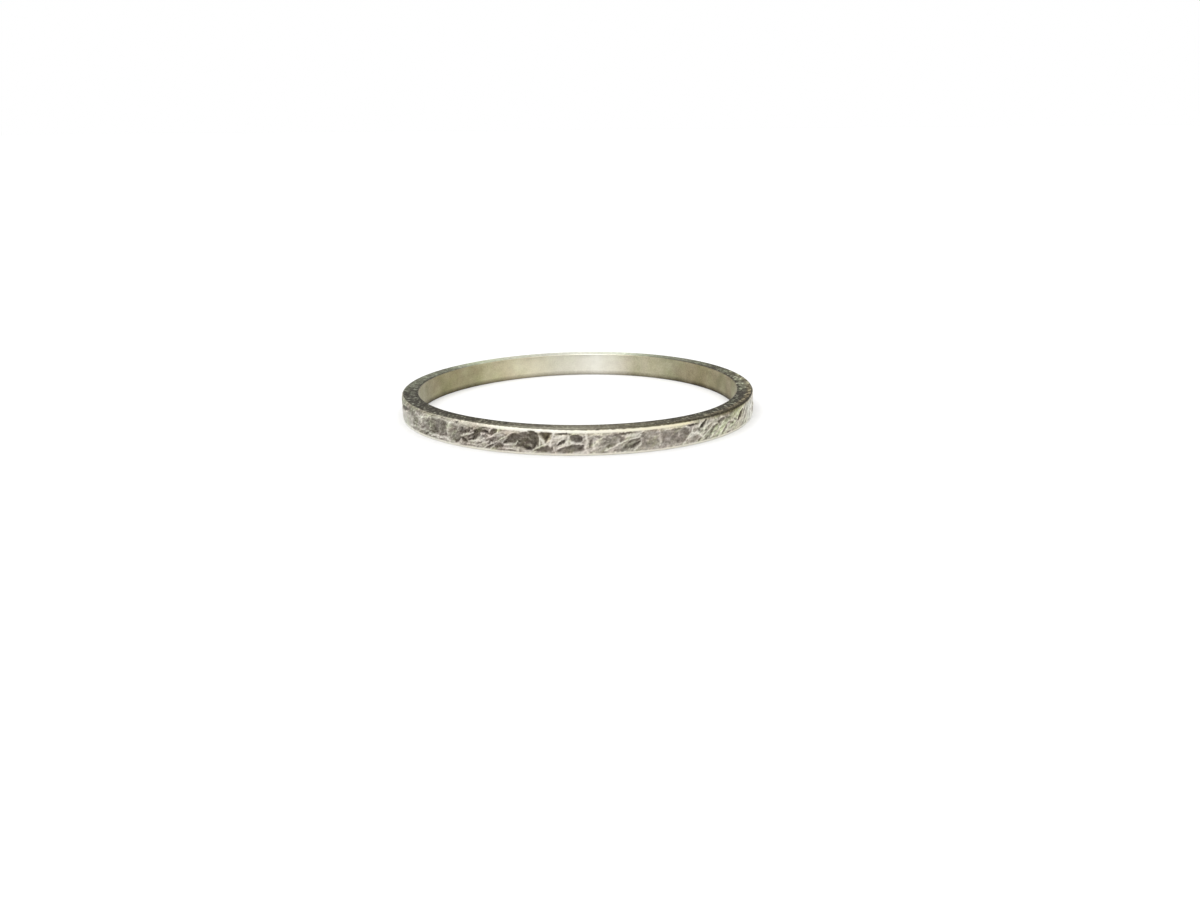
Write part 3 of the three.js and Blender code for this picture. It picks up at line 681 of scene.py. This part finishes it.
# towards the right of the front the metal is torn in steep streaks
torn = np.interp(Ao % 360, [0, 300, 316, 326, 346, 356], [0, 0, 0.6, 1, 1, 0])
tone += 0.26 * torn * slanted(Ao, Zo, 42, 1.3, 5.5, 46, 2)
tone = np.where(tone > 0.70, 0.70 + (tone - 0.70) * 0.60, tone)  # even the deepest marks keep some shine
tone += 0.12 * slanted(Ao, Zo, 34, 2.4, 8.5, 47, 2) + 0.07 * cloud(xo * 7, yo * 7, Zo * 7, 48, 2)
broken_up = np.interp(Ao % 360, [0, 200, 207, 246, 254, 360], [0, 0, 1, 1, 0, 0])
tone += 0.15 * broken_up * slanted(Ao, Zo, 22, 3.2, 10.0, 49, 2)
tone += 0.62 * smooth * ((tone * smooth).sum() / smooth.sum() - tone)
tone = tone * (1 - rub) + 0.05 * rub
olive = slanted(Ao, Zo, 33, 1.5, 4.0, 50, 2)
green = np.clip(green * np.clip(0.55 + 1.1 * slanted(Ao, Zo, 30, 1.2, 4.5, 44, 2), 0, 1.2) + 0.9 * np.clip(olive - 0.10, 0, 0.5), 0, 1)
rosy = np.clip(0.46 + 1.2 * cloud(xo * 1.7, yo * 1.7, Zo * 2.2, 45, 2) - 0.9 * olive, 0, 1.3) * (1 - green)

# the worn upper and lower edges, and above the upper one the metal is as dark as the flat side; both edges are ragged
# where marks cut them, and both are painted lighter than the wear alone makes them, as a painted highlight
ragged = 0.020 * cloud(xo * 2.4, yo * 2.4, Zo * 0 + 3.0, 51, 3) + 0.012 * cloud(xo * 8, yo * 8, Zo * 0 + 3.0, 53, 2)
ragged *= 1 + 1.6 * np.interp(Ao % 360, [0, 190, 205, 238, 250, 360], [0, 0, 1, 1, 0, 0])
ragged_low = 0.022 * cloud(xo * 2.8, yo * 2.8, Zo * 0 + 5.0, 52, 3)
# bright also sets a painted highlight on the bevel: strongest along the front, 258 to 304, where it catches the light
bright = by_angle(UPPER_EDGE, Ao, "bright")
foot = HEIGHT - down - by_angle(UPPER_EDGE, Ao, "spread") + ragged
upper = ease((Zo - foot + 0.030) / 0.045) * bright
upper *= 1 - 0.8 * ease((tone - 0.74) / 0.14) * (above < 0.25)
# painted highlight as well as wear: the lower edge is painted light up past its rounding onto the face, to about 0.13
# mm
lower = ease(((0.130 + ragged_low) - Zo) / 0.045)
edge = np.maximum(upper, lower)
tone = tone * (1 - edge)
green = green * (1 - 0.6 * edge)
rosy = rosy * (1 - 0.8 * edge)
clean = by_angle(UPPER_EDGE, Ao, "clean")
shoulder = ease((above - clean - 0.10 * noise3(xo * 6, yo * 6, Zo * 0, 54)) / 0.24)
side_tone = by_angle(TOP_SIDE, Ao, "tone") + 0.20 * cloud(xo * 9, yo * 9, Zo * 9, 55, 3, 0.7)
tone = tone * (1 - shoulder) + side_tone * shoulder
edge = edge * (1 - shoulder)

# this holds the tone of the oxide and also painted light: the painted highlights on the worn edges, the painted
# reflection on the inner wall and the flat side, and painted shade on the upper bevel at the right and along the inner
# edge of the flat side
oxide_and_painted_light = np.zeros((N, K))
greenish = np.zeros((N, K))
warm = np.zeros((N, K))
rosiness = np.zeros((N, K))
rough = np.zeros((N, K))
grit = np.ones((N, K))
burnished = np.ones((N, K))
burnished[:, outer] = 1 - np.maximum(np.maximum(0.85 * edge, lower), 0.6 * rub)
cool = 0 * A + np.interp(A % 360, [0, 186, 200, 214, 224, 232, 240, 328, 338, 346, 356],
                         [0, 0.8, 1.0, 0.4, 0.6, 0.3, 0, 0, 1.0, 1.0, 0])
bluish = np.clip(-2.0 * olive + 0.7 * cloud(xo * 2.0, yo * 2.0, Zo * 2.0, 57, 2), 0, 1) * (1 - green) * (1 - edge) * (1 - rub)
cool[:, outer] = np.maximum(cool[:, outer], 0.85 * bluish)
grit[:, outer] = (1.0 + 1.1 * broken_up) * (1 - 0.5 * smooth)
grit[:, top] = 1.0 + 0.9 * by_angle(TOP_SIDE, A[:, top], "gritty")
oxide_and_painted_light[:, outer] = tone
rosiness[:, outer] = rosy * (1 - shoulder)
greenish[:, outer] = np.maximum(green, shoulder * by_angle(TOP_SIDE, Ao, "green"))
warm[:, outer] = np.clip(0.02 + 0.10 * cloud(xo * 1.5, yo * 1.5, Zo * 1.5, 56, 2) + upper * by_angle(UPPER_EDGE, Ao, "orange") * 0.9
                         + lower * 0.08 + (0.8 * yellow + 0.45 * np.clip(olive, 0, 0.5) * (1 - cool[:, outer])) * (1 - edge) * (1 - rub), 0, 1)
rough[:, outer] = 0.44 + 0.20 * np.clip(tone, 0, 1) - 0.10 * edge - 0.08 * rub

# ------------------------------------------------------------------ the flat top side
At, Rt = A[:, top], R[:, top]
xt, yt = Rt * np.cos(np.radians(At)), Rt * np.sin(np.radians(At))
# a fine sandy grain, with scratches drawn out a little across it
grain = slanted(At, Rt - INNER_RADIUS, 20, 7.0, 5.5, 61, 2, 0.8)
speck = slanted(At, Rt - INNER_RADIUS, -24, 10.0, 6.5, 62, 1)
Z[:, top] -= 0.0050 * (1 + grain) * np.sin(math.pi * np.clip((Rt - R[:, top].min()) / np.ptp(R[:, top]), 0, 1))
gritty = by_angle(TOP_SIDE, At, "gritty")
edge_top = face_radius(HEIGHT) - by_angle(UPPER_EDGE, At, "inward")
across = (Rt - INNER_RADIUS - INNER_WEAR) / (edge_top - INNER_RADIUS - INNER_WEAR)
# painted reflection: the table's light stretch at the back is partly clean metal and partly painted reflection
side = by_angle(TOP_SIDE, At, "tone") + (0.10 + 0.18 * gritty) * grain
side -= 0.52 * gritty * ease((speck - 0.26) / 0.30)
# painted shade: a dark line along the inner edge of the flat side
side += (0.06 + 0.20 * by_angle(TOP_SIDE, At, "lined")) * np.exp(-((across - 0.08) / 0.10) ** 2)
side -= 0.20 * ease((across - 0.55) / 0.4) * np.interp(At % 360, [0, 232, 250, 268, 285, 360], [0, 0, 1, 1, 0, 0])
# painted shade: at the right its outer part is painted warm brown, copying how the edge there looks in shade
brown = ease((across - 0.52) / 0.25) * np.interp(At % 360, [0, 12, 30, 296, 318, 345, 360], [0.6, 0.4, 0, 0, 0.9, 1.0, 0.6])
oxide_and_painted_light[:, top] = side - 0.10 * brown
greenish[:, top] = by_angle(TOP_SIDE, At, "green") * (1 - 0.9 * brown)
warm[:, top] = by_angle(TOP_SIDE, At, "warm") + 0.7 * brown
rough[:, top] = 0.74

# ------------------------------------------------------------------ the inner wall and its edges
Ai, Zi = A[:, inner], Z[:, inner]
xi, yi = INNER_RADIUS * np.cos(np.radians(Ai)), INNER_RADIUS * np.sin(np.radians(Ai))
wobble = 0.010 * cloud(xi * 0.9, yi * 0.9, Zi * 0.9, 71, 3)
R[:, inner] -= wobble * np.isin(zone[inner], ["wall"])[None, :]
# painted reflection: the wall is painted lightest at the back and darker towards its sides, partly tarnish
tarnish_and_reflection = by_angle(WALL_TARNISH_AND_REFLECTION, Ai, "tone")
patch = cloud(xi * 1.1, yi * 1.1, Zi * 1.4, 72, 3)
oxide_and_painted_light[:, inner] = tarnish_and_reflection * (1 + 0.30 * patch) + 0.05 * cloud(xi * 3.0, yi * 3.0, Zi * 5.0, 74, 3)
oxide_and_painted_light[:, inner] += 0.03 * noise3(xi * 1.2, yi * 1.2, Zi * 22.0, 73)
# a thin dark line along the lower inner edge, and the upper one shades into the flat side
oxide_and_painted_light[:, inner] += ease((0.085 - Zi) / 0.05) * 0.42
rim = ease((Zi - (HEIGHT - 0.040)) / 0.035)
oxide_and_painted_light[:, inner] = oxide_and_painted_light[:, inner] * (1 - rim * 0.7) + by_angle(TOP_SIDE, Ai, "tone") * rim * 0.7
warm[:, inner] = by_angle(WALL_TARNISH_AND_REFLECTION, Ai, "warm") * (1 + 0.25 * patch)
greenish[:, inner] = np.clip(0.30 + 0.9 * cloud(xi * 0.8, yi * 0.8, Zi * 0.8, 75, 2), 0, 1) * np.clip(tarnish_and_reflection / 0.4, 0, 1)
rough[:, inner] = 0.36 + 0.2 * tarnish_and_reflection

low = zone == "low_side"
oxide_and_painted_light[:, low] = 0.62 + 0.1 * cloud(R[:, low] * CX[:, low] * 5, R[:, low] * CY[:, low] * 5, Z[:, low], 81, 3)
warm[:, low] = 0.2
rough[:, low] = 0.5
oxide_and_painted_light = np.clip(oxide_and_painted_light, 0, 1)
warm = np.clip(warm, 0, 1)

# ------------------------------------------------------------------ the mesh
R = R + out_of_round(A)
Z = Z + by_angle(UPPER_EDGE, A, "taller") * Z / HEIGHT
X, Y = R * CX, R * CY
node_low, node_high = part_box("band")
middle = np.array([(X.min() + X.max()) / 2, (Y.min() + Y.max()) / 2])
centre = np.array([(node_low[i] + node_high[i]) / 2 / MM for i in (0, 1)])
shift = centre - middle
verts = np.stack([X + shift[0], Y + shift[1], Z], axis=-1).reshape(-1, 3) * MM

i = np.repeat(np.arange(N), K)
k = np.tile(np.arange(K), N)
j, l = (i + 1) % N, (k + 1) % K
quads = np.stack([i * K + k, j * K + k, j * K + l, i * K + l], axis=1)

mesh = bpy.data.meshes.new("hammered_band")
mesh.from_pydata(verts.tolist(), [], quads.tolist())
mesh.polygons.foreach_set("use_smooth", [True] * len(mesh.polygons))


def vertex_value(name, values):
    layer = mesh.attributes.new(name, "FLOAT", "POINT")
    layer.data.foreach_set("value", np.ascontiguousarray(values.reshape(-1), dtype=np.float32))


vertex_value("oxide_and_painted_light", oxide_and_painted_light)
vertex_value("greenish", greenish)
vertex_value("warm", warm)
vertex_value("rosy", rosiness)
vertex_value("dullness", np.clip(rough, 0, 1))
vertex_value("grit", grit)
vertex_value("burnished", burnished)
vertex_value("cool", cool * (1 - np.clip(warm * 3, 0, 1)))

# A map of its own: the band unrolled and cut in 16 squares.
CUTS = 16
per = N // CUTS
section = np.concatenate([[0.0], np.cumsum(np.hypot(np.diff(np.append(radius, radius[0])), np.diff(np.append(height, height[0]))))])
section /= section[-1]
cut, step = i // per, i % per
u0, u1 = step / per, (step + 1) / per
v0, v1 = section[k], section[k + 1]
cell = 1.0 / 4
pad = 0.012
scale = cell - 2 * pad
ox, oy = (cut % 4) * cell + pad, (cut // 4) * cell + pad
uv = np.empty((len(quads), 4, 2))
for corner, (u, v) in enumerate([(u0, v0), (u1, v0), (u1, v1), (u0, v1)]):
    uv[:, corner, 0] = ox + u * scale
    uv[:, corner, 1] = oy + v * scale
layer = mesh.uv_layers.new(name="OFBake")
layer.data.foreach_set("uv", uv.reshape(-1).astype(np.float32))
mesh.validate()
mesh.update()

band = bpy.data.objects.new("hammered_band", mesh)
bpy.context.scene.collection.objects.link(band)


# ------------------------------------------------------------------ oxidised silver
def silver_material():
    mat = bpy.data.materials.new("oxidised_silver")
    mat.use_nodes = True
    tree = mat.node_tree
    nodes, links = tree.nodes, tree.links
    shader = nodes["Principled BSDF"]

    def node(kind, **values):
        n = nodes.new(kind)
        for name, value in values.items():
            setattr(n, name, value)
        return n

    def attribute(name):
        return node("ShaderNodeAttribute", attribute_name=name).outputs["Fac"]

    def sum_of(a, b, operation="ADD", clamp=False):
        n = node("ShaderNodeMath", operation=operation, use_clamp=clamp)
        for socket, value in zip(n.inputs, (a, b)):
            if isinstance(value, (int, float)):
                socket.default_value = value
            else:
                links.new(value, socket)
        return n.outputs[0]

    def between(value, low, high, to_low, to_high):
        n = node("ShaderNodeMapRange")
        links.new(value, n.inputs["Value"])
        for name, v in (("From Min", low), ("From Max", high), ("To Min", to_low), ("To Max", to_high)):
            n.inputs[name].default_value = v
        return n.outputs["Result"]

    def noise(scale, stretch=(1, 1, 1), detail=4.0, roughness=0.55):
        mapping = node("ShaderNodeMapping")
        links.new(place.outputs["Object"], mapping.inputs["Vector"])
        mapping.inputs["Scale"].default_value = tuple(1000.0 * s for s in stretch)  # metres to millimetres
        n = node("ShaderNodeTexNoise", noise_dimensions="3D")
        links.new(mapping.outputs["Vector"], n.inputs["Vector"])
        n.inputs["Scale"].default_value = scale
        n.inputs["Detail"].default_value = detail
        n.inputs["Roughness"].default_value = roughness
        return n.outputs["Fac"]

    place = node("ShaderNodeTexCoord")
    grain = noise(14.0, detail=5.0, roughness=0.65)  # rough metal, features of about 0.07 mm
    fine = noise(42.0, detail=3.0, roughness=0.6)
    brushed = noise(3.0, stretch=(1, 1, 22), detail=4.0, roughness=0.7)  # fine lines along the band
    patches = noise(1.1, detail=3.0)

    # the oxide attribute carries painted light too: highlight on the worn edges, reflection on the wall and flat side,
    # shade on the bevel and flat side
    oxide_and_painted_light_in = attribute("oxide_and_painted_light")
    spots = sum_of(sum_of(grain, 0.5, "SUBTRACT"), sum_of(attribute("grit"), 0.42, "MULTIPLY"), "MULTIPLY")
    varied = sum_of(oxide_and_painted_light_in, spots)
    varied = sum_of(varied, sum_of(sum_of(brushed, 0.5, "SUBTRACT"), 0.22, "MULTIPLY"))
    # clean metal stays even: the variation fades out where there is no oxide
    amount = between(oxide_and_painted_light_in, 0.0, 0.35, 0.25, 1.0)
    mixed = node("ShaderNodeMix", data_type="FLOAT")
    links.new(amount, mixed.inputs[0])
    links.new(oxide_and_painted_light_in, mixed.inputs[2])
    links.new(varied, mixed.inputs[3])
    oxide_and_painted_light_out = mixed.outputs[0]

    def seen_as(*eight_bit):
        """A colour as it looks on a screen, 0 to 255, as the shader takes it."""
        return tuple(((c / 255 + 0.055) / 1.055) ** 2.4 for c in eight_bit)

    ramp = node("ShaderNodeValToRGB")
    ramp.color_ramp.interpolation = "LINEAR"
    stops = [
        (0.00, seen_as(247, 244, 233)),
        (0.20, seen_as(212, 207, 196)),
        (0.40, seen_as(175, 169, 158)),
        (0.60, seen_as(137, 131, 121)),
        (0.80, seen_as(100, 93, 84)),
        (1.00, seen_as(50, 43, 37)),
    ]
    elements = ramp.color_ramp.elements
    while len(elements) < len(stops):
        elements.new(0.5)
    for e, (at, colour) in zip(elements, stops):
        e.position = at
        e.color = (*colour, 1.0)
    links.new(oxide_and_painted_light_out, ramp.inputs["Fac"])

    def tinted(colour, amount, tint):
        n = node("ShaderNodeMix", data_type="RGBA", blend_type="MULTIPLY")
        links.new(amount, n.inputs[0])
        links.new(colour, n.inputs[6])
        n.inputs[7].default_value = (*tint, 1.0)
        return n.outputs[2]

    green_amount = sum_of(attribute("greenish"), between(patches, 0.35, 0.65, 0.70, 1.15), "MULTIPLY", True)
    colour = tinted(ramp.outputs["Color"], green_amount, (0.87, 1.0, 0.82))
    colour = tinted(colour, attribute("rosy"), (1.0, 0.945, 0.95))
    colour = tinted(colour, attribute("warm"), (1.0, 0.93, 0.60))
    colour = tinted(colour, attribute("cool"), (0.955, 0.995, 1.03))
    links.new(colour, shader.inputs["Base Color"])

    mirror = sum_of(between(oxide_and_painted_light_out, 0.10, 0.60, 0.80, 0.0), attribute("burnished"), "MULTIPLY")
    links.new(mirror, shader.inputs["Metallic"])
    dull = sum_of(attribute("dullness"), sum_of(sum_of(grain, 0.5, "SUBTRACT"), 0.22, "MULTIPLY"), "ADD", True)
    links.new(dull, shader.inputs["Roughness"])
    shader.inputs["Specular IOR Level"].default_value = 0.15

    relief = sum_of(sum_of(grain, 0.55, "MULTIPLY"), sum_of(fine, 0.30, "MULTIPLY"))
    relief = sum_of(relief, sum_of(brushed, 0.55, "MULTIPLY"))
    bump = node("ShaderNodeBump")
    bump.inputs["Strength"].default_value = 0.55
    bump.inputs["Distance"].default_value = 0.000016
    links.new(relief, bump.inputs["Height"])
    links.new(bump.outputs["Normal"], shader.inputs["Normal"])
    return mat


band.data.materials.append(silver_material())
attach(band, "root")
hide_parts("band")

# ------------------------------------------------------------------ floor and light
SPAN = 40.0
floor_mesh = bpy.data.meshes.new("floor")
floor_mesh.from_pydata([(-SPAN, -SPAN, 0), (SPAN, -SPAN, 0), (SPAN, SPAN, 0), (-SPAN, SPAN, 0)], [], [(0, 1, 2, 3)])
floor = bpy.data.objects.new("floor", floor_mesh)
bpy.context.scene.collection.objects.link(floor)
floor_mat = bpy.data.materials.new("pale_floor")
floor_mat.use_nodes = True
paint = floor_mat.node_tree.nodes["Principled BSDF"]
paint.inputs["Base Color"].default_value = (0.84, 0.84, 0.84, 1.0)
paint.inputs["Roughness"].default_value = 0.9
paint.inputs["Specular IOR Level"].default_value = 0.0
floor_mesh.materials.append(floor_mat)

ROOM_FRONT, ROOM_BACK, ROOM_ABOVE = 0.30, 0.75, 0.25

scene = bpy.context.scene
scene.view_settings.view_transform = "Standard"
scene.view_settings.look = "None"
scene.view_settings.exposure = 0.0
scene.view_settings.gamma = 1.0

world = bpy.data.worlds.new("studio")
scene.world = world
world.use_nodes = True
tree = world.node_tree
backdrop = tree.nodes["Background"]
# The room as the metal sees it: bright above and behind, dimmer in front, where the camera stands. The backdrop itself
# is plain white.
facing = tree.nodes.new("ShaderNodeTexCoord")
parts = tree.nodes.new("ShaderNodeSeparateXYZ")
tree.links.new(facing.outputs["Generated"], parts.inputs[0])
depthwise = tree.nodes.new("ShaderNodeMapRange")
depthwise.interpolation_type = "SMOOTHSTEP"
tree.links.new(parts.outputs["Y"], depthwise.inputs["Value"])
for name, v in (("From Min", -0.9), ("From Max", 0.6), ("To Min", ROOM_FRONT), ("To Max", ROOM_BACK)):
    depthwise.inputs[name].default_value = v
upward = tree.nodes.new("ShaderNodeMapRange")
upward.interpolation_type = "SMOOTHSTEP"
tree.links.new(parts.outputs["Z"], upward.inputs["Value"])
for name, v in (("From Min", 0.1), ("From Max", 0.9), ("To Min", 0.0), ("To Max", ROOM_ABOVE)):
    upward.inputs[name].default_value = v
room = tree.nodes.new("ShaderNodeMath")
tree.links.new(depthwise.outputs["Result"], room.inputs[0])
tree.links.new(upward.outputs["Result"], room.inputs[1])
seen = tree.nodes.new("ShaderNodeLightPath")
choose = tree.nodes.new("ShaderNodeMix")
tree.links.new(seen.outputs["Is Camera Ray"], choose.inputs[0])
tree.links.new(room.outputs[0], choose.inputs[2])
choose.inputs[3].default_value = 1.0
tree.links.new(choose.outputs[0], backdrop.inputs["Strength"])
backdrop.inputs["Color"].default_value = (1.0, 1.0, 1.0, 1.0)


def soft_sun(name, azimuth, elevation, strength, angle, colour=(1, 1, 1)):
    """A far, wide soft light. azimuth 0 is in front of the ring, on the camera's side, and grows to the viewer's right."""
    light = bpy.data.lights.new(name, "SUN")
    light.energy = strength
    light.angle = math.radians(angle)
    light.color = colour
    o = bpy.data.objects.new(name, light)
    scene.collection.objects.link(o)
    a, e = math.radians(azimuth), math.radians(elevation)
    back = np.array([math.sin(a) * math.cos(e), -math.cos(a) * math.cos(e), math.sin(e)])
    side = np.cross((0, 1, 0) if abs(back[2]) > 0.95 else (0, 0, 1), back)
    side /= np.linalg.norm(side)
    up = np.cross(back, side)
    o.matrix_world = Matrix([[side[r], up[r], back[r], 0.1 * back[r]] for r in range(3)] + [[0, 0, 0, 1]])
    return o


soft_sun("overhead", -20, 74, 2.0, 66)

# ------------------------------------------------------------------ camera, from the rim's ellipses in the photograph
FOCAL_PX = 1107.0  # of a picture 1200 pixels wide
TILT, ROLL = math.radians(16.51), math.radians(0.48)
RIM = 9.55  # radius of the outer edge that the rim's ellipses were fitted to, mm
ASIDE, ABOVE, AWAY = -0.116, 0.299, 6.46  # the band's place before the lens, in RIM
tilt = np.array([[1, 0, 0], [0, math.sin(TILT), math.cos(TILT)], [0, -math.cos(TILT), math.sin(TILT)]])
roll = np.array([[math.cos(ROLL), -math.sin(ROLL), 0], [math.sin(ROLL), math.cos(ROLL), 0], [0, 0, 1]])
look = roll @ tilt
eye = -look.T @ np.array([ASIDE, ABOVE, -AWAY]) * RIM
eye = (eye + np.array([shift[0], shift[1], 0.0])) * MM
camera_data = bpy.data.cameras.new("camera")
camera_data.sensor_width = 36.0
camera_data.lens = FOCAL_PX / 1200.0 * 36.0
camera_data.clip_start = 0.001
camera_data.clip_end = 200.0
camera = bpy.data.objects.new("camera", camera_data)
scene.collection.objects.link(camera)
turned = look.T
camera.matrix_world = Matrix([[*turned[r], eye[r]] for r in range(3)] + [[0, 0, 0, 1]])
scene.camera = camera

bpy.context.view_layer.update()
